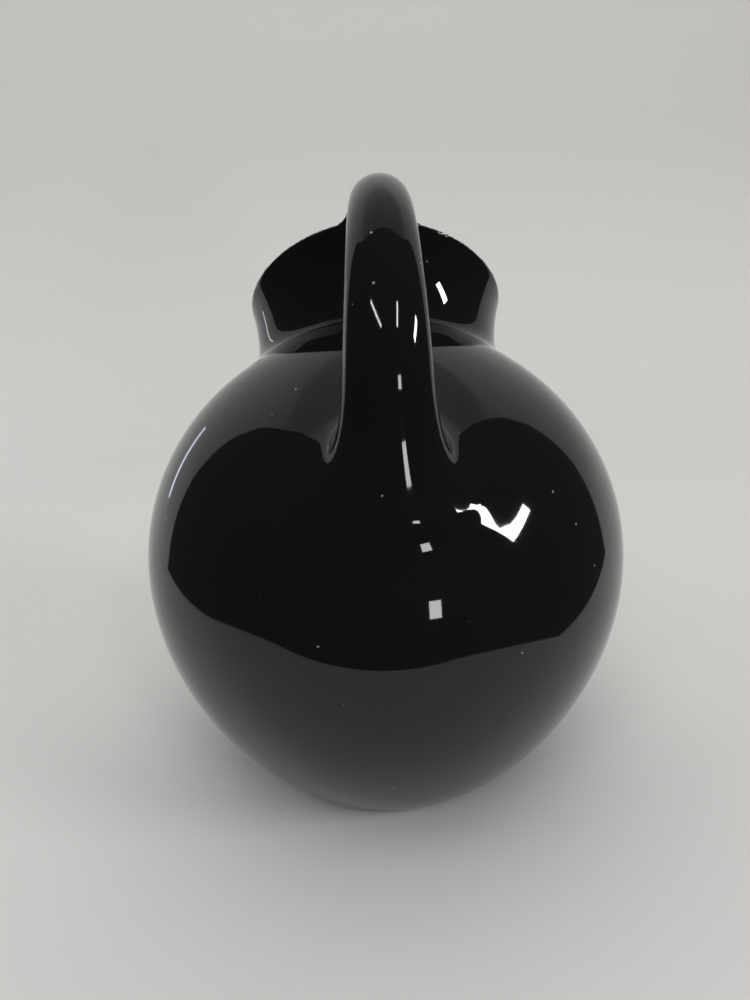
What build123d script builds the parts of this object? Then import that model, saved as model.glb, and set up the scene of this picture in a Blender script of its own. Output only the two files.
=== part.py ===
"""Black glazed ball jug: a ball-shaped belly in two halves, a collar that leans forward with a
pulled spout, and a strap handle from the back of the rim to the shoulder, luted on with slip.

Millimetres, +Z up. The origin is the middle of the flat foot. +Y is the way it pours, and the
handle is on -Y. Lengths on the belly are given as shares of its largest radius.
"""

import os
from functools import cache
from math import cos, exp, pi, radians, sin, sqrt

from build123d import *

# Driving sizes
BELLY_R = 86.0  # largest radius of the ball
WALL = 5.0  # clay thickness of belly and collar
CENTRE_H = 0.95 * BELLY_R  # height of the largest radius above the foot
FOOT_EDGE = 2.5  # rounding of the edge of the flat foot
PROFILE = (1.004, -0.143, -0.090)  # how the ball's squared radius falls off with distance
CROWN = 1.4  # how much fuller it is close to the top, above CROWN_START
CROWN_START = 0.80  # share of the largest radius above the ball's centre

# Collar: it leans forward about the ball's centre, and is a little wider at the rim
LEAN = 28.0  # degrees forward from upright
COLLAR_R = 0.53 * BELLY_R  # outer radius where it leaves the ball
COLLAR_FLARE = 0.022 * BELLY_R  # how much wider the rim is at the two sides
BACK_FLARE = 0.080 * BELLY_R  # how much more than that at the back
COLLAR_FOOT = 0.80 * BELLY_R  # along the leaning axis, from the ball's centre
RIM_LEVEL = 1.086 * BELLY_R  # the rim at the two sides
RIM_TILT = -0.080  # how the rim drops from the handle to the spout
RIM_SADDLE = 0.174 / BELLY_R  # how it rises again to the handle and to the spout
COLLAR_END = 1.48 * BELLY_R  # where the untrimmed collar ends, clear above the rim
SPOUT_REACH = 0.15 * BELLY_R  # how far the spout is pulled out at the rim
SPOUT_SPREAD = 0.50  # radians of the collar that the spout takes up to each side
LUTING_REACH = 0.085 * BELLY_R  # how far the slip at the foot of the collar runs each way

# Handle: an oval strap that widens downwards, on one arc over the back and then a straight leg
HANDLE_R = 0.54 * BELLY_R  # the arc's radius at the middle of the strap
HANDLE_CENTRE = (-0.241 * BELLY_R, 0.878 * BELLY_R)  # forward and up from the ball's centre
HANDLE_START = 132.0  # degrees of arc from the rim to where the leg begins
HANDLE_LEG = 0.50 * BELLY_R  # from the end of the arc down into the shoulder
HANDLE_OFFSET = 1.6  # the strap is luted on this far to the right of the spout's plane
STRAP_WIDTH = 0.197 * BELLY_R  # at the rim
STRAP_SPREAD = 0.052 / BELLY_R  # how fast the width grows with the square of the distance
STRAP_DEPTH = 0.19 * BELLY_R
LUTING_SWELL = 0.065 * BELLY_R  # how much the slip at the rim stands out round the strap
ROOT_KNOB_R = 0.39 * BELLY_R  # the mound of slip at the strap's foot is part of a ball this big
ROOT_KNOB_RISE = 0.070 * BELLY_R  # how far it stands above the shoulder
ROOT_KNOB_TILT = 31.0  # degrees above level, seen from the ball's centre

# Derived sizes
DOME_TOP = -0.97  # the dome is cut off flat here, inside the collar, in shares of the depth
FOOT_DEPTH = CENTRE_H / BELLY_R
INNER = (BELLY_R - WALL) / BELLY_R
HANDLE_BEND = HANDLE_R * radians(HANDLE_START)
HANDLE_LENGTH = HANDLE_BEND + HANDLE_LEG


def ball_point(depth, shrink=1.0):
    """A point of the ball's outline, as (radius, height), at a share below its largest radius."""
    flat, tilt, curl = PROFILE
    crown = CROWN * max(-depth - CROWN_START, 0.0) ** 2
    fall = flat + tilt * depth + curl * depth**2 - crown
    radius = sqrt(max(1.0 - depth**2 * fall, 0.0))
    return radius * BELLY_R * shrink, CENTRE_H - depth * BELLY_R * shrink


@cache
def ball_half(top, bottom, shrink):
    """A solid slice of the ball between two shares of depth, filled to its axis."""
    steps = 9
    depths = [top + (bottom - top) * step / (steps - 1) for step in range(steps)]
    outline = [ball_point(depth, shrink) for depth in depths]
    curve = Spline([(radius, 0, height) for radius, height in outline])
    upper = Line((0, 0, outline[0][1]), curve @ 0)
    lower = Line(curve @ 1, (0, 0, outline[-1][1]))
    axis = Line((0, 0, outline[-1][1]), (0, 0, outline[0][1]))
    return revolve(make_face([upper, curve, lower, axis]), Axis.Z, 360)


@cache
def lower_ball():
    """The outer shape of the ball's lower half, on its flat foot."""
    half = ball_half(0.0, FOOT_DEPTH, 1.0)
    foot = half.edges().sort_by(Axis.Z)[0]
    return fillet(foot, FOOT_EDGE)


def lower_bowl():
    """The pressed lower half, open at the largest radius."""
    hollow = ball_half(0.0, FOOT_DEPTH, INNER)
    floor_edge = hollow.edges().sort_by(Axis.Z)[0]
    return lower_ball() - fillet(floor_edge, 2 * WALL)


@cache
def upper_ball():
    """The outer shape of the ball's upper half."""
    return ball_half(DOME_TOP, 0.0, 1.0)


def rim_level(place):
    """The rim's level along the collar's axis, at a distance towards the spout."""
    return RIM_LEVEL + RIM_TILT * place + RIM_SADDLE * place**2


def collar_radius(azimuth, level):
    """Outer radius of the collar about its axis; azimuth 0 is the spout."""
    rim = rim_level(COLLAR_R * cos(azimuth))
    up = min(max((level - COLLAR_FOOT) / (rim - COLLAR_FOOT), 0.0), 1.3)
    flare = COLLAR_FLARE - BACK_FLARE * cos(azimuth)
    pull = SPOUT_REACH * exp(-((azimuth / SPOUT_SPREAD) ** 2))
    return COLLAR_R + flare * up**3 + pull * up**2


def leaning_plane(level):
    """The plane across the collar at a level along its axis; local +Y is towards the spout."""
    lean = radians(LEAN)
    origin = (0, level * sin(lean), CENTRE_H + level * cos(lean))
    return Plane(origin=origin, x_dir=(1, 0, 0), z_dir=(0, sin(lean), cos(lean)))


@cache
def collar_solid(inset, start, end):
    """The collar as a filled solid, drawn in by inset all round."""
    stations = 16
    levels = [start + (end - start) * step / 4 for step in range(5)]
    sections = []
    for level in levels:
        points = []
        for station in range(stations):
            azimuth = 2 * pi * station / stations - pi
            radius = collar_radius(azimuth, level) - inset
            points.append((radius * sin(azimuth), radius * cos(azimuth)))
        sections.append(leaning_plane(level) * make_face(Spline(points, periodic=True)))
    return loft(sections)


@cache
def above_rim():
    """Everything above the rim: a curve in the plane of symmetry, level from side to side."""
    reach = BELLY_R
    shares = (-1.0, -0.6, -0.25, 0.0, 0.25, 0.6, 1.0)
    places = [share * reach for share in shares]
    edge = [(place, rim_level(place)) for place in places]
    lean = radians(LEAN)
    # The sketch lies in the plane of symmetry: local +X is towards the spout, +Y up the axis.
    side = Plane(origin=(0, 0, CENTRE_H), x_dir=(0, cos(lean), -sin(lean)), z_dir=(1, 0, 0))
    curve = Spline(edge)
    top = 2 * BELLY_R
    frame = Polyline(curve @ 1, (reach, top), (-reach, top), curve @ 0)
    return extrude(side * make_face([curve, frame]), amount=BELLY_R, both=True)


@cache
def mouth(level=COLLAR_END):
    """The open space inside the collar, down into the belly."""
    return collar_solid(WALL, 0.70 * BELLY_R, level)


def upper_dome():
    """The upper half with the mouth cut in it."""
    return upper_ball() - ball_half(DOME_TOP, 0.0, INNER) - mouth()


@cache
def spout_collar():
    """The leaning collar with its pulled spout, seated on the dome."""
    outer = collar_solid(0.0, COLLAR_FOOT, COLLAR_END)
    return outer - mouth() - upper_ball() - above_rim()


@cache
def collar_luting():
    """The slip worked into the corner between dome and collar: a concave ring."""
    foot_level = sqrt(BELLY_R**2 - COLLAR_R**2)
    corner = (COLLAR_R - WALL / 2, foot_level - WALL)
    up_wall = (COLLAR_R - 0.2, foot_level + LUTING_REACH)
    out_ball = (COLLAR_R + LUTING_REACH, foot_level - 0.75 * LUTING_REACH)
    hollow = (COLLAR_R + 0.2 * LUTING_REACH, foot_level + 0.12 * LUTING_REACH)
    lean = radians(LEAN)
    side = Plane(origin=(0, 0, CENTRE_H), x_dir=(0, cos(lean), -sin(lean)), z_dir=(1, 0, 0))
    face = make_face([ThreePointArc(up_wall, hollow, out_ball), Polyline(out_ball, corner, up_wall)])
    ring = revolve(side * face, Axis((0, 0, CENTRE_H), (0, sin(lean), cos(lean))), 360)
    return ring - upper_ball() - collar_solid(0.0, COLLAR_FOOT, COLLAR_END)


def strap_frame(along):
    """The strap's centre and heading, in (forward, up), at a distance from its start."""
    forward, up = HANDLE_CENTRE
    if along > HANDLE_BEND:
        return (forward - HANDLE_R, up - (along - HANDLE_BEND)), (0.0, -1.0)
    angle = (HANDLE_BEND - along) / HANDLE_R
    point = (forward - HANDLE_R * cos(angle), up + HANDLE_R * sin(angle))
    return point, (-sin(angle), -cos(angle))


def strap_section(along, swell=0.0):
    """The strap's oval across its path. With swell it is larger, mostly on the inner side."""
    (forward, up), heading = strap_frame(along)
    origin = (HANDLE_OFFSET, forward, CENTRE_H + up)
    plane = Plane(origin=origin, x_dir=(1, 0, 0), z_dir=(0, *heading))
    width = STRAP_WIDTH + STRAP_SPREAD * along**2
    oval = Ellipse(width / 2 + swell, STRAP_DEPTH / 2 + swell)
    return plane * Pos(0, -0.7 * swell) * oval


@cache
def strap_solid():
    """The whole strap before its ends are trimmed to the collar and the dome."""
    shares = (0.0, 1 / 6, 2 / 6, 3 / 6, 4 / 6, 5 / 6, 1.0)
    arc = [strap_section(share * HANDLE_BEND) for share in shares]
    leg = [strap_section(HANDLE_BEND + share * HANDLE_LEG) for share in (0.35, 0.7, 1.0)]
    return loft(arc + leg)


def handle():
    """The strap, seated over the rim at one end and on the shoulder at the other."""
    return strap_solid() - upper_ball() - mouth() - spout_collar()


def handle_rim_luting():
    """The slip round the strap where it lies over the rim, widest where they meet."""
    places = (0.0, 0.20 * BELLY_R, 0.40 * BELLY_R)
    swells = (LUTING_SWELL, 0.45 * LUTING_SWELL, 0.6)
    body = loft([strap_section(along, swell) for along, swell in zip(places, swells)])
    return body - strap_solid() - mouth() - spout_collar() - upper_ball() - collar_luting()


def handle_root_luting():
    """The low mound of slip where the strap runs in to the shoulder."""
    tilt = radians(ROOT_KNOB_TILT)
    out = BELLY_R + ROOT_KNOB_RISE - ROOT_KNOB_R
    centre = (HANDLE_OFFSET, -out * cos(tilt), CENTRE_H + out * sin(tilt))
    return Pos(*centre) * Sphere(ROOT_KNOB_R) - strap_solid() - upper_ball() - lower_ball()


PIECES = (
    lower_bowl,
    upper_dome,
    spout_collar,
    collar_luting,
    handle,
    handle_rim_luting,
    handle_root_luting,
)

os.makedirs("parts", exist_ok=True)
for build_piece in PIECES:
    name = build_piece.__name__
    solid = build_piece()
    solid.label = name
    export_step(solid, f"parts/{name}.step")
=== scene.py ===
"""Looks for the black glazed ball jug.

The jug is one continuous glazed skin over several pieces of clay. Its shape is a field: a
function that is negative inside the clay and positive outside, smoothly blended where the
pieces were luted together. Each piece is the part of that field nearest to its own form, so
the pieces meet edge to edge and the glaze runs over the joins unbroken.

Lengths inside the field are shares of the ball's largest radius, measured from the ball's
centre: x to the right, y towards the spout, z up. Everything placed in Blender is in metres.
"""

import math

import bpy
import numpy as np
from mathutils import Matrix, Vector


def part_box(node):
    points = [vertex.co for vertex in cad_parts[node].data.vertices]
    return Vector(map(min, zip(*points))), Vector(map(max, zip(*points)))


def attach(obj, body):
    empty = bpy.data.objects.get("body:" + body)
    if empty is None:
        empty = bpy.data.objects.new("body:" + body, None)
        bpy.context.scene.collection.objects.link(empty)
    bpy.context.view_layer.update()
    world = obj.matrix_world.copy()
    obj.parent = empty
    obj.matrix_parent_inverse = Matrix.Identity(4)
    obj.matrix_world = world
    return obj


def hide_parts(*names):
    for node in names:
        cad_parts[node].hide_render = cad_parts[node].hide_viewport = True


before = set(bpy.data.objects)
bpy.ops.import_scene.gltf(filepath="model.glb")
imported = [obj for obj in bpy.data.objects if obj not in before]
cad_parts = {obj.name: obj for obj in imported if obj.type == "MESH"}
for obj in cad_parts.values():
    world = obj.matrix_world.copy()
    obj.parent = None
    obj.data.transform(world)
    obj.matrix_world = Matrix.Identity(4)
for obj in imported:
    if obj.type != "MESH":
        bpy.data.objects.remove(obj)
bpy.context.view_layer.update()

# ---------------------------------------------------------------- sizes

# From the frame, in metres
BOWL_LOW, BOWL_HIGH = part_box("lower_bowl")
BELLY_R = (BOWL_HIGH.x - BOWL_LOW.x) / 2
CENTRE = np.array([0.0, 0.0, BOWL_HIGH.z])

# The ball, in shares of its radius
FOOT_DEPTH = BOWL_HIGH.z / BELLY_R
WALL = 0.058
INNER = 1.0 - WALL
PROFILE = (1.004, -0.143, -0.090)  # how its squared radius falls off with distance
CROWN = 1.4  # how much fuller it is close to the top
CROWN_START = 0.80
CROWN_SPAN = 0.24
SLOPE_FLOOR = 1e-3  # keeps the slope off zero at the ball's centre

# The collar, along and round an axis that leans forward through the ball's centre
LEAN = math.radians(28.0)
COLLAR_R = 0.53
COLLAR_FLARE = 0.022  # wider by this much at the rim
BACK_FLARE = 0.080  # and by this much more at the back
COLLAR_FOOT = 0.80
COLLAR_STOP = 0.55  # its form ends here, deep inside the ball
COLLAR_REACH = 1.3  # the flare goes on above the rim to here, in shares of the collar's height
RIM_LEVEL = 1.086
RIM_TILT = -0.080
RIM_SADDLE = 0.174
SPOUT_REACH = 0.15
SPOUT_SPREAD = 0.50
NEAR_AXIS = 0.2  # closer to the axis than this, the spout's turn is taken as it is here

# The handle: an arc over the back, then a straight leg
HANDLE_R = 0.54
HANDLE_CENTRE = (-0.241, 0.878)
HANDLE_BEND = HANDLE_R * math.radians(132.0)
HANDLE_LEG = 0.38
HANDLE_LENGTH = HANDLE_BEND + HANDLE_LEG
HANDLE_OFFSET = 0.0186
STRAP_HALF_WIDTH = 0.0985
STRAP_SPREAD = 0.028
STRAP_HALF_DEPTH = 0.095

# How widely the forms flow into each other
COLLAR_BLEND = 0.10
RIM_BLEND = 0.09
ROOT_BLEND = 0.26
ROOT_TOP, RIM_BOTTOM = 0.90, 1.25  # heights between which one blend gives way to the other
LIP_ROUND = 0.040
FOOT_ROUND = 0.035
FLOOR_ROUND = 0.15
THROAT_ROUND = 0.06

# The lutings: how deep each bites into the pieces it joins, and where the strap's two lie
INLAY = 0.02
ROOT_SPOT = np.array([HANDLE_OFFSET, -0.82, 0.54])
ROOT_SPREAD = 0.36
RIM_SPOT = np.array([HANDLE_OFFSET, 0.03, 1.36])
RIM_SPREAD = 0.24


# ---------------------------------------------------------------- the field

def smooth_min(a, b, reach):
    """The smaller of two distances, rounded over where they differ by less than reach."""
    near = np.maximum(reach - np.abs(a - b), 0.0) / reach
    return np.minimum(a, b) - near**3 * reach / 6.0


def smooth_max(a, b, reach):
    """The larger of two distances, rounded over in the same way."""
    return -smooth_min(-a, -b, reach)


def ease(value, low, high):
    """0 below low, 1 above high, smooth between."""
    share = np.clip((value - low) / (high - low), 0.0, 1.0)
    return share * share * (3.0 - 2.0 * share)


def ball(p):
    """Distance to the ball's outline, which is a little fuller below than a sphere."""
    flat, tilt, curl = PROFILE
    depth = -p[:, 2]
    radius = np.hypot(p[:, 0], p[:, 1])
    crown = np.clip(p[:, 2] - CROWN_START, 0.0, CROWN_SPAN)
    swell = 2.0 * CROWN * crown
    fall = flat + tilt * depth + curl * depth**2 - CROWN * crown**2
    value = radius**2 + depth**2 * fall - 1.0
    slope = 2.0 * depth * fall + depth**2 * (tilt + 2.0 * curl * depth + swell)
    return value / np.sqrt(4.0 * radius**2 + slope**2 + SLOPE_FLOOR)


def leaning(p):
    """Level along the collar's axis, reach towards the spout, and distance from the axis."""
    level = p[:, 1] * math.sin(LEAN) + p[:, 2] * math.cos(LEAN)
    reach = p[:, 1] * math.cos(LEAN) - p[:, 2] * math.sin(LEAN)
    return level, reach, np.hypot(p[:, 0], reach)


def rim_level(reach):
    """The rim's level along the collar's axis, at a reach towards the spout."""
    return RIM_LEVEL + RIM_TILT * reach + RIM_SADDLE * reach**2


def collar_side(p, inset=0.0):
    """Distance to the collar's side, drawn in by inset."""
    level, reach, out = leaning(p)
    azimuth = np.arctan2(p[:, 0], reach)
    flare = COLLAR_FLARE - BACK_FLARE * np.cos(azimuth)
    span = rim_level(COLLAR_R * np.cos(azimuth)) - COLLAR_FOOT
    up = np.clip((level - COLLAR_FOOT) / span, 0.0, COLLAR_REACH)
    bump = np.exp(-((azimuth / SPOUT_SPREAD) ** 2))
    radius = COLLAR_R + flare * up**3 + SPOUT_REACH * up**2 * bump
    rise = (3.0 * flare * up**2 + 2.0 * SPOUT_REACH * up * bump) / span
    turn = SPOUT_REACH * up**2 * bump * 2.0 * azimuth / SPOUT_SPREAD**2
    turn = turn / np.maximum(out, NEAR_AXIS)
    side = (out - radius) / np.sqrt(1.0 + rise**2 + turn**2) + inset
    return np.maximum(side, COLLAR_STOP - level)


def above_rim(p):
    """Positive above the rim."""
    level, reach, _ = leaning(p)
    slope = RIM_TILT + 2.0 * RIM_SADDLE * reach
    return (level - rim_level(reach)) / np.sqrt(1.0 + slope**2)


def collar(p):
    """Distance to the collar as a filled form, with its rounded rim."""
    return smooth_max(collar_side(p), above_rim(p), LIP_ROUND)


def strap(p):
    """Distance to the handle's strap: an oval carried round an arc and down a straight leg."""
    forward, up = p[:, 1] - HANDLE_CENTRE[0], p[:, 2] - HANDLE_CENTRE[1]
    on_leg = up < 0.0
    angle = np.arctan2(up, -forward)
    angle = np.where(angle < -0.5 * math.pi, angle + 2.0 * math.pi, angle)
    along = np.where(on_leg, HANDLE_BEND - up, HANDLE_BEND - HANDLE_R * angle)
    off = np.where(on_leg, -forward, np.hypot(forward, up)) - HANDLE_R
    across = p[:, 0] - HANDLE_OFFSET
    a = STRAP_HALF_WIDTH + STRAP_SPREAD * np.clip(along, 0.0, HANDLE_LENGTH) ** 2
    b = STRAP_HALF_DEPTH
    oval = np.sqrt((across / a) ** 2 + (off / b) ** 2)
    slope = np.sqrt((across / a**2) ** 2 + (off / b**2) ** 2) / np.maximum(oval, 1e-6)
    tube = (oval - 1.0) / np.maximum(slope, 1.0 / a)
    past_end = np.maximum(-along, along - HANDLE_LENGTH)
    beyond = np.hypot(np.maximum(tube, 0.0), np.maximum(past_end, 0.0))
    return np.where(past_end > 0.0, beyond, np.maximum(tube, past_end))


def hollow(p):
    """Negative in the open space inside the jug and above its mouth."""
    belly = INNER * ball(p / INNER)
    belly = smooth_max(belly, -(p[:, 2] + FOOT_DEPTH * INNER), FLOOR_ROUND)
    return smooth_min(belly, collar_side(p, WALL), THROAT_ROUND)


def jug(p):
    """The whole jug."""
    body = smooth_min(ball(p), collar(p), COLLAR_BLEND)
    high = ease(p[:, 2], ROOT_TOP, RIM_BOTTOM)
    blend = ROOT_BLEND + (RIM_BLEND - ROOT_BLEND) * high
    skin = smooth_min(body, strap(p), blend)
    skin = smooth_max(skin, -(p[:, 2] + FOOT_DEPTH), FOOT_ROUND)
    return smooth_max(skin, -hollow(p), LIP_ROUND)


# ---------------------------------------------------------------- which clay is whose

def near(p, spot, spread):
    """Negative within spread of a spot."""
    return np.sqrt(((p - spot) ** 2).sum(1)) - spread


def collar_joint(p):
    """Negative in the slip round the collar's foot."""
    inside = np.maximum(-INLAY - ball(p), -INLAY - collar_side(p))
    edges = np.maximum(ball(p) - COLLAR_BLEND, collar_side(p) - COLLAR_BLEND)
    return np.maximum(inside, edges)


def root_joint(p):
    """Negative in the slip where the strap runs in to the shoulder."""
    inside = np.maximum(-INLAY - ball(p), -INLAY - strap(p))
    return np.maximum(inside, near(p, ROOT_SPOT, ROOT_SPREAD))


def rim_joint(p):
    """Negative in the slip where the strap lies over the rim."""
    inside = np.maximum(-INLAY - collar(p), -INLAY - strap(p))
    return np.maximum(inside, near(p, RIM_SPOT, RIM_SPREAD))


def off_luting(p):
    """Negative outside every luting."""
    return -np.minimum(np.minimum(collar_joint(p), root_joint(p)), rim_joint(p))


def ball_claim(p):
    """Negative in the ball's own clay: inside its outline, or nearer to it than to the rest."""
    return np.minimum(ball(p), ball(p) - np.minimum(strap(p), collar(p)))


def collar_claim(p):
    """Negative in the collar, or nearer to it than to the strap."""
    return np.minimum(collar(p), collar(p) - strap(p))


def lower_bowl(p):
    """The ball's clay below its largest radius."""
    return np.maximum(np.maximum(ball_claim(p), p[:, 2]), off_luting(p))


def upper_dome(p):
    """The ball's clay above its largest radius."""
    return np.maximum(np.maximum(ball_claim(p), -p[:, 2]), off_luting(p))


def spout_collar(p):
    """The collar's clay outside the ball."""
    return np.maximum(np.maximum(-ball_claim(p), collar_claim(p)), off_luting(p))


def handle(p):
    """The strap's clay outside the ball and the collar."""
    return np.maximum(np.maximum(-ball_claim(p), -collar_claim(p)), off_luting(p))


# ---------------------------------------------------------------- from field to mesh

MARGIN = 2  # lattice steps kept clear round a piece's box
BEYOND = 2.0  # a crossing that isn't on this step lies past its end
SETTLE_ROUNDS = 5
SETTLE_REACH = 1.5  # the furthest a point may move while it settles, in cells
LEAST_ANGLE = 0.05  # skin and cut are never taken to be closer to parallel than this


def gradient(field, p, step=4e-4):
    """How fast the field grows along x, y and z."""
    sides = [field(p + move) - field(p - move) for move in np.eye(3) * step]
    return np.stack(sides, 1) / (2 * step)


def settle(p, skin_only, share_only, share, cell):
    """Moves each point on to the surface it belongs to: the skin, the cut, or where they meet."""
    start = p.copy()
    for _ in range(SETTLE_ROUNDS):
        skin, cut = jug(p), share(p)
        to_skin, to_cut = gradient(jug, p), gradient(share, p)
        a = (to_skin**2).sum(1)
        b = (to_skin * to_cut).sum(1)
        c = (to_cut**2).sum(1)
        det = np.maximum(a * c - b * b, LEAST_ANGLE * a * c)
        on_skin = np.where(share_only, 0.0, (c * skin - b * cut) / det)
        on_skin = np.where(skin_only, skin / a, on_skin)
        on_cut = np.where(skin_only, 0.0, (a * cut - b * skin) / det)
        on_cut = np.where(share_only, cut / c, on_cut)
        p = p - on_skin[:, None] * to_skin - on_cut[:, None] * to_cut
        p = start + np.clip(p - start, -SETTLE_REACH * cell, SETTLE_REACH * cell)
    return p


def crossings(axis, skin, cut, first, cell):
    """The lattice steps along an axis that pass through the piece's surface.

    For each: the four cells round the step, the spot where it crosses, and whether it
    crosses the skin rather than the cut.
    """
    count = skin.shape
    inside = np.maximum(skin, cut) < 0.0
    step, a, b = (np.eye(3, dtype=int)[(axis + turn) % 3] for turn in range(3))
    low_side = inside.take(np.arange(count[axis] - 1), axis)
    high_side = inside.take(np.arange(1, count[axis]), axis)
    start = np.argwhere(low_side != high_side)
    leaving = low_side[tuple(start.T)]
    inner = tuple(np.where(leaving[:, None], start, start + step).T)
    outer = tuple(np.where(leaving[:, None], start + step, start).T)
    reach = []
    for value in (skin, cut):
        span = np.maximum(value[outer] - value[inner], 1e-12)
        reach.append(np.where(value[outer] > 0.0, -value[inner] / span, BEYOND))
    share_along = np.minimum(*reach)
    along = np.where(leaving, share_along, 1.0 - share_along)
    spot = (first + start + along[:, None] * step) * cell
    ring = np.stack([start, start - a, start - a - b, start - b], 1)
    ring = np.where(leaving[:, None, None], ring, ring[:, ::-1])
    cells = np.ravel_multi_index(tuple(np.moveaxis(ring, -1, 0)), count)
    return cells, spot, reach[0] <= reach[1]


def polygonise(share, low, high, cell):
    """Quads round the part of the jug that share claims: points, faces, and which are skin."""
    first = np.floor(low / cell).astype(int) - MARGIN
    count = np.ceil(high / cell).astype(int) + MARGIN + 1 - first
    lines = [(first[k] + np.arange(count[k])) * cell for k in range(3)]
    lattice = np.stack(np.meshgrid(*lines, indexing="ij"), -1).reshape(-1, 3)
    skin = jug(lattice).reshape(count)
    cut = share(lattice).reshape(count)
    found = [crossings(axis, skin, cut, first, cell) for axis in range(3)]
    cells, spots, by_skin = (np.concatenate(part) for part in zip(*found))
    _, faces = np.unique(cells, return_inverse=True)
    faces = faces.reshape(cells.shape)
    each = faces.ravel()
    total = np.bincount(each)
    skins = np.bincount(each, weights=np.repeat(by_skin, 4).astype(float))
    points = [np.bincount(each, weights=np.repeat(spots[:, k], 4)) for k in range(3)]
    points = np.stack(points, 1) / total[:, None]
    points = settle(points, skins == total, skins == 0, share, cell)
    return points, faces, by_skin


def corner_normals(mesh, points, faces, by_skin):
    """A normal for each face corner: the field's own on the skin, the face's on a cut."""
    facing = gradient(jug, points)
    facing /= np.linalg.norm(facing, axis=1)[:, None]
    flat = np.zeros(len(faces) * 3)
    mesh.polygons.foreach_get("normal", flat)
    flat = np.repeat(flat.reshape(-1, 3), 4, 0)
    return np.where(np.repeat(by_skin, 4)[:, None], facing[faces.ravel()], flat)


def add_object(name, data):
    obj = bpy.data.objects.new(name, data)
    bpy.context.scene.collection.objects.link(obj)
    return obj


def clay_piece(name, share, box, cell):
    """A closed mesh of one piece: glazed skin, with bare clay on its cuts and its foot."""
    low, high = (np.array(corner) for corner in box)
    points, faces, by_skin = polygonise(share, low, high, cell)
    mesh = bpy.data.meshes.new(name)
    mesh.from_pydata((points * BELLY_R + CENTRE).tolist(), [], faces.tolist())
    mesh.polygons.foreach_set("use_smooth", np.ones(len(faces), bool))
    normals = corner_normals(mesh, points, faces, by_skin)
    mesh.materials.append(GLAZE)
    mesh.materials.append(BARE_CLAY)
    height = (points[faces, 2].mean(1) + FOOT_DEPTH) * BELLY_R
    bare = ~by_skin | (height < WIPED_HEIGHT)
    mesh.polygons.foreach_set("material_index", bare.astype(np.int32))
    mesh.normals_split_custom_set(normals.tolist())
    mesh.update()
    return add_object(name, mesh)


# ---------------------------------------------------------------- materials

WIPED_HEIGHT = 0.0004  # the glaze is wiped off the foot up to here, in metres

GLAZE_IOR = 1.46
GLAZE_BLACK = (0.006, 0.006, 0.007, 1.0)
GLAZE_ROUGHNESS = (0.028, 0.060)
CLOUD_SCALE = 26.0
CLOUD_RANGE = (0.35, 0.65)
WAVE_SCALE = 34.0
DUST_GREY = (0.30, 0.29, 0.27, 1.0)
SPECK_SCALE = 160.0
SPECK_EDGE = (0.04, 0.07)  # a speck's soft edge, in shares of its cell
DUSTY = (0.74, 0.75)  # about one cell in four holds a speck of dust
PITTED = (0.86, 0.87)  # and about one in seven a pinhole

CLAY_DARK = (0.045, 0.038, 0.034, 1.0)
CLAY_LIGHT = (0.085, 0.074, 0.067, 1.0)
GRAIN_SCALE = 900.0

PAPER_WHITE = (0.72, 0.71, 0.695, 1.0)


def new_material(name):
    """A material with its nodes, its links and its shader."""
    material = bpy.data.materials.new(name)
    material.use_nodes = True
    nodes = material.node_tree.nodes
    return material, nodes, material.node_tree.links, nodes["Principled BSDF"]


def noise(nodes, links, place, scale, detail):
    """Cloudy values between 0 and 1."""
    texture = nodes.new("ShaderNodeTexNoise")
    texture.inputs["Scale"].default_value = scale
    texture.inputs["Detail"].default_value = detail
    links.new(place, texture.inputs["Vector"])
    return texture.outputs["Fac"]


def spread(nodes, links, value, low, high, to_low, to_high):
    """Maps low..high on to to_low..to_high, and stays level beyond."""
    shift = nodes.new("ShaderNodeMapRange")
    shift.inputs["From Min"].default_value = low
    shift.inputs["From Max"].default_value = high
    shift.inputs["To Min"].default_value = to_low
    shift.inputs["To Max"].default_value = to_high
    links.new(value, shift.inputs["Value"])
    return shift.outputs["Result"]


def times(nodes, links, a, b):
    """One value multiplied by another."""
    product = nodes.new("ShaderNodeMath")
    product.operation = "MULTIPLY"
    links.new(a, product.inputs[0])
    links.new(b, product.inputs[1])
    return product.outputs["Value"]


def between(nodes, links, factor, low, high):
    """A colour from low, at factor 0, to high."""
    tint = nodes.new("ShaderNodeMix")
    tint.data_type = "RGBA"
    tint.inputs["A"].default_value = low
    tint.inputs["B"].default_value = high
    links.new(factor, tint.inputs["Factor"])
    return tint.outputs["Result"]


def relief(nodes, links, height, distance, strength):
    """A bump node over a height; distance is in metres."""
    bump = nodes.new("ShaderNodeBump")
    bump.inputs["Distance"].default_value = distance
    bump.inputs["Strength"].default_value = strength
    links.new(height, bump.inputs["Height"])
    return bump


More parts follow.
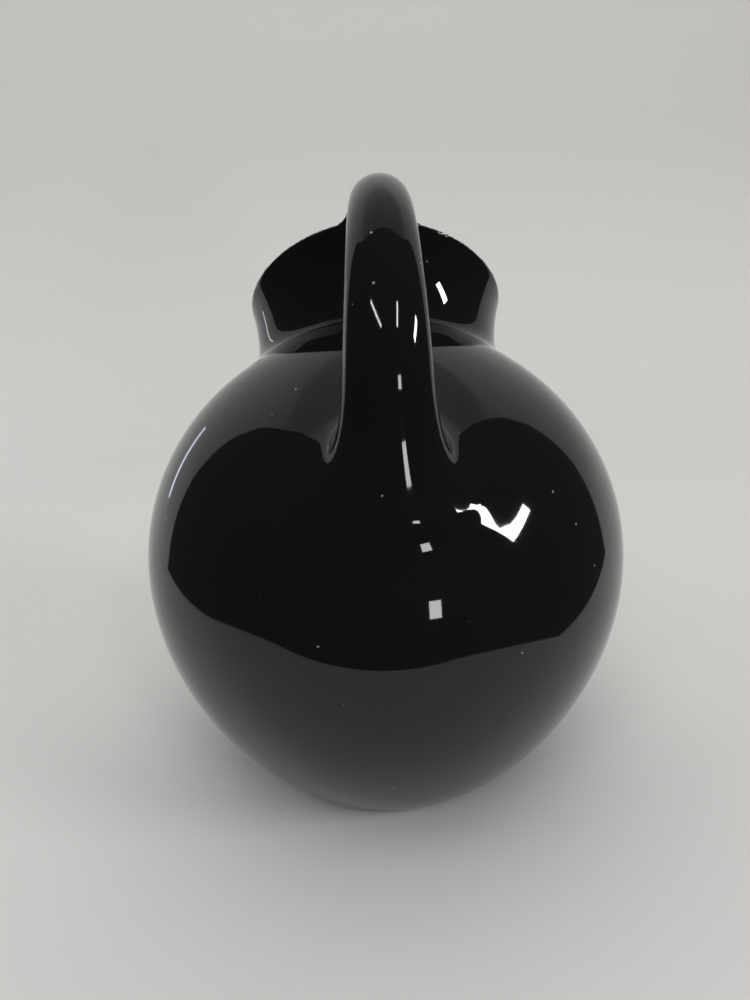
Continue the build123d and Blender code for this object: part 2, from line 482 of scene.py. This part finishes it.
def make_glaze():
    """A mirror-like black glaze: faintly uneven, with a few pinholes and specks of dust."""
    material, nodes, links, shader = new_material("black_glaze")
    shader.inputs["IOR"].default_value = GLAZE_IOR
    place = nodes.new("ShaderNodeTexCoord").outputs["Object"]

    cloud = noise(nodes, links, place, CLOUD_SCALE, 3.0)
    rough = spread(nodes, links, cloud, *CLOUD_RANGE, *GLAZE_ROUGHNESS)
    links.new(rough, shader.inputs["Roughness"])

    specks = nodes.new("ShaderNodeTexVoronoi")
    specks.inputs["Scale"].default_value = SPECK_SCALE
    links.new(place, specks.inputs["Vector"])
    close = spread(nodes, links, specks.outputs["Distance"], *SPECK_EDGE, 1.0, 0.0)
    choice = nodes.new("ShaderNodeSeparateColor")
    links.new(specks.outputs["Color"], choice.inputs["Color"])
    dusty = spread(nodes, links, choice.outputs["Red"], *DUSTY, 0.0, 1.0)
    pitted = spread(nodes, links, choice.outputs["Green"], *PITTED, 0.0, 1.0)
    dust = times(nodes, links, close, dusty)
    tint = between(nodes, links, dust, GLAZE_BLACK, DUST_GREY)
    links.new(tint, shader.inputs["Base Color"])

    swell = noise(nodes, links, place, WAVE_SCALE, 1.0)
    waves = relief(nodes, links, swell, 0.0006, 0.14)
    pits = relief(nodes, links, times(nodes, links, close, pitted), 0.0002, 0.5)
    pits.invert = True
    links.new(waves.outputs["Normal"], pits.inputs["Normal"])
    links.new(pits.outputs["Normal"], shader.inputs["Normal"])
    return material


def make_bare_clay():
    """The unglazed body: dark, dry and sandy."""
    material, nodes, links, shader = new_material("bare_clay")
    shader.inputs["Roughness"].default_value = 0.85
    place = nodes.new("ShaderNodeTexCoord").outputs["Object"]
    grain = noise(nodes, links, place, GRAIN_SCALE, 4.0)
    tint = between(nodes, links, grain, CLAY_DARK, CLAY_LIGHT)
    links.new(tint, shader.inputs["Base Color"])
    bump = relief(nodes, links, grain, 0.0002, 0.6)
    links.new(bump.outputs["Normal"], shader.inputs["Normal"])
    return material


def make_paper():
    """Pale, matt paper."""
    material, _, _, shader = new_material("paper")
    shader.inputs["Base Color"].default_value = PAPER_WHITE
    shader.inputs["Roughness"].default_value = 0.95
    shader.inputs["Specular IOR Level"].default_value = 0.1
    return material


GLAZE = make_glaze()
BARE_CLAY = make_bare_clay()

# ---------------------------------------------------------------- the pieces

FINE, COARSE = 0.011, 0.024  # the lattice's cells
HIGH = 1.60

# Node, the clay it claims, the box that clay lies in, and the cell it is built with
PIECES = (
    ("lower_bowl", lower_bowl, ((-1.02, -1.06, -0.96), (1.02, 1.02, 0.02)), COARSE),
    ("upper_dome", upper_dome, ((-1.02, -1.06, -0.02), (1.02, 1.04, 1.08)), COARSE),
    ("spout_collar", spout_collar, ((-0.65, -0.10, 0.45), (0.65, 1.35, 1.50)), FINE),
    ("collar_luting", collar_joint, ((-0.70, -0.25, 0.30), (0.70, 1.05, 1.20)), FINE),
    ("handle", handle, ((-0.18, -0.95, 0.45), (0.22, 0.22, HIGH)), FINE),
    ("handle_rim_luting", rim_joint, ((-0.26, -0.24, 1.08), (0.30, 0.30, HIGH)), FINE),
    ("handle_root_luting", root_joint, ((-0.46, -1.06, 0.06), (0.50, -0.40, 0.98)), FINE),
)

for node, share, span, cell in PIECES:
    piece = clay_piece(node + "_glazed", share, span, cell)
    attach(piece, "root")
    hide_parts(node)

# ---------------------------------------------------------------- the paper stage

SWEEP_R = 0.80  # how far off the paper stands, well outside the round of views
SWEEP_COVE = 0.30
COVE_STEPS = 8
SWEEP_COLUMNS = 49
SWEEP_HALF = 72.0  # degrees that it reaches to each side of the far side, at the floor
SWEEP_WAIST = 66.0  # and a little above the jug, where it is narrowest

# The sweep above its cove: how far off, how high, and degrees reached to each side
SWEEP_ROWS = [
    (SWEEP_R, 0.60, SWEEP_WAIST),
    (SWEEP_R, 0.90, 70.0),
    (SWEEP_R * 0.9, 1.15, 82.0),
    (SWEEP_R * 0.6, 1.35, 88.0),
    (SWEEP_R * 0.3, 1.43, 89.0),
    (0.02, 1.45, 89.0),
]

FLOOR_FRONT = 0.232  # how far forward the floor reaches
CORNER_FRONT = 0.09  # and how far its sides do, before its corners round in
CORNER_STEPS = 10
LEFT_CORNER = (-0.185, -0.145)  # where the front edge ends, and how far out the corner runs
RIGHT_CORNER = (0.085, 0.118)
FLOOR_SIDE = ((0.44, 0.14), (0.75, 0.30), (0.75, 0.80))  # from the corner to the far side


def stage_mesh(name, points, faces, material):
    """A smooth part of the stage."""
    mesh = bpy.data.meshes.new(name)
    mesh.from_pydata(points, [], faces)
    mesh.materials.append(material)
    mesh.polygons.foreach_set("use_smooth", np.ones(len(faces), bool))
    obj = add_object(name, mesh)


def cove_rows():
    """The sweep's rows where it curves up from the floor, as in SWEEP_ROWS."""
    rows = []
    for step in range(COVE_STEPS + 1):
        turn = math.pi / 2 * step / COVE_STEPS
        out = SWEEP_R - SWEEP_COVE + SWEEP_COVE * math.sin(turn)
        up = SWEEP_COVE - SWEEP_COVE * math.cos(turn)
        half = SWEEP_HALF - (SWEEP_HALF - SWEEP_WAIST) * step / COVE_STEPS
        rows.append((out, up, half))
    return rows


def make_sweep(material):
    """Pale paper that curves up behind the jug and over it, like a wide shell."""
    outline = cove_rows() + SWEEP_ROWS
    rows = len(outline)
    points, faces = [], []
    for column in range(SWEEP_COLUMNS):
        across = 2 * column / (SWEEP_COLUMNS - 1) - 1
        for out, up, half in outline:
            azimuth = math.radians(half) * across
            points.append((out * math.sin(azimuth), out * math.cos(azimuth), up))
    for column in range(SWEEP_COLUMNS - 1):
        for row in range(rows - 1):
            corner = column * rows + row
            faces.append((corner, corner + rows, corner + rows + 1, corner + 1))
    stage_mesh("paper_sweep", points, faces, material)


def floor_corner(start, run):
    """A rounded front corner of the floor, from its front edge round to its side."""
    depth = FLOOR_FRONT - CORNER_FRONT
    turns = [math.pi / 2 * step / CORNER_STEPS for step in range(CORNER_STEPS + 1)]
    return [(start + run * math.sin(t), -CORNER_FRONT - depth * math.cos(t), 0.0) for t in turns]


def make_floor(material):
    """Pale paper that reaches forward only a little way, with rounded front corners."""
    right = floor_corner(*RIGHT_CORNER) + [(x, y, 0.0) for x, y in FLOOR_SIDE]
    left = floor_corner(*LEFT_CORNER) + [(-x, y, 0.0) for x, y in FLOOR_SIDE]
    points = right + left[::-1]
    stage_mesh("paper_floor", points, [range(len(points))], material)


PAPER = make_paper()
make_sweep(PAPER)
make_floor(PAPER)

# ---------------------------------------------------------------- light

WORLD_GREY = (0.044, 0.046, 0.049, 1.0)

world = bpy.data.worlds.new("studio")
bpy.context.scene.world = world
world.use_nodes = True
world.node_tree.nodes["Background"].inputs["Color"].default_value = WORLD_GREY
world.node_tree.nodes["Background"].inputs["Strength"].default_value = 1.0
bpy.context.scene.view_settings.view_transform = "Standard"


def aim(azimuth, elevation):
    """A direction from the jug: azimuth from the camera's side round to the right."""
    a, e = math.radians(azimuth), math.radians(elevation)
    return Vector((math.sin(a) * math.cos(e), -math.cos(a) * math.cos(e), math.sin(e)))


def soft_light(name, start, end, distance, width, watts):
    """A flat light facing the jug, its length running from one direction to another."""
    ways = [aim(*start) * distance, aim(*end) * distance]
    middle = (ways[0] + ways[1]) / 2
    length = ways[1] - ways[0]
    out = middle.normalized()
    along = (length - length.dot(out) * out).normalized()
    turned = Matrix((along, out.cross(along), out)).transposed().to_4x4()
    data = bpy.data.lights.new(name, "AREA")
    data.shape = "RECTANGLE"
    data.size, data.size_y = length.length, width
    data.energy = watts
    obj = add_object(name, data)
    obj.matrix_world = Matrix.Translation(Vector(CENTRE) + middle) @ turned
    return obj


# The windows and lamps that show in the glaze
soft_light("window", (58.5, 17.5), (74.0, 24.0), 1.6, 0.11, 7.0)
soft_light("far_window", (19.0, -6.0), (19.0, 2.0), 1.8, 0.16, 1.6)
soft_light("left_lamp", (-37.0, 42.0), (-10.0, 30.0), 1.5, 0.05, 2.0)
soft_light("right_lamp", (29.0, 42.0), (22.0, 29.0), 1.5, 0.06, 1.6)
side_window = soft_light("side_window", (-125.0, 1.0), (-134.0, 17.0), 0.72, 0.022, 0.06)
side_window.data.color = (0.72, 0.82, 1.0)
side_window.visible_camera = False

# Wide lights that brighten the paper and don't show in the glaze
FILLS = (
    ("overhead", (110.0, 55.0), (110.0, 115.0), 1.2, 1.2, 4.4),
    ("front_fill", (-30.0, 52.0), (30.0, 52.0), 1.6, 1.2, 4.5),
    ("left_fill", (-105.0, 30.0), (-60.0, 30.0), 1.5, 1.0, 3.5),
)

for fill in FILLS:
    soft_light(*fill).visible_glossy = False

# ---------------------------------------------------------------- camera

PITCH = math.radians(20.0)  # how far it looks down
ROLL = math.radians(2.2)
VIEW_DISTANCE = 3.3214  # from the ball's centre, in shares of the ball's radius
AIM = (0.01318, -0.06644)  # where the ball's centre lies in the picture, right and up, as tangents
SENSOR = (27.0, 36.0)
LENS = 27.04
NEAREST = 0.005


def place_camera():
    """The camera behind the jug, looking down on the handle."""
    data = bpy.data.cameras.new("camera")
    data.sensor_fit = "VERTICAL"
    data.sensor_width, data.sensor_height = SENSOR
    data.lens = LENS
    data.clip_start = NEAREST
    forward = Vector((0, math.cos(PITCH), -math.sin(PITCH)))
    level_up = Vector((0, math.sin(PITCH), math.cos(PITCH)))
    level_right = Vector((1, 0, 0))
    right = math.cos(ROLL) * level_right - math.sin(ROLL) * level_up
    up = math.cos(ROLL) * level_up + math.sin(ROLL) * level_right
    ray = (AIM[0] * right + AIM[1] * up + forward).normalized()
    place = Vector(CENTRE) - ray * VIEW_DISTANCE * BELLY_R
    turned = Matrix((right, up, -forward)).transposed().to_4x4()
    obj = add_object("camera", data)
    obj.matrix_world = Matrix.Translation(place) @ turned
    bpy.context.scene.camera = obj


place_camera()
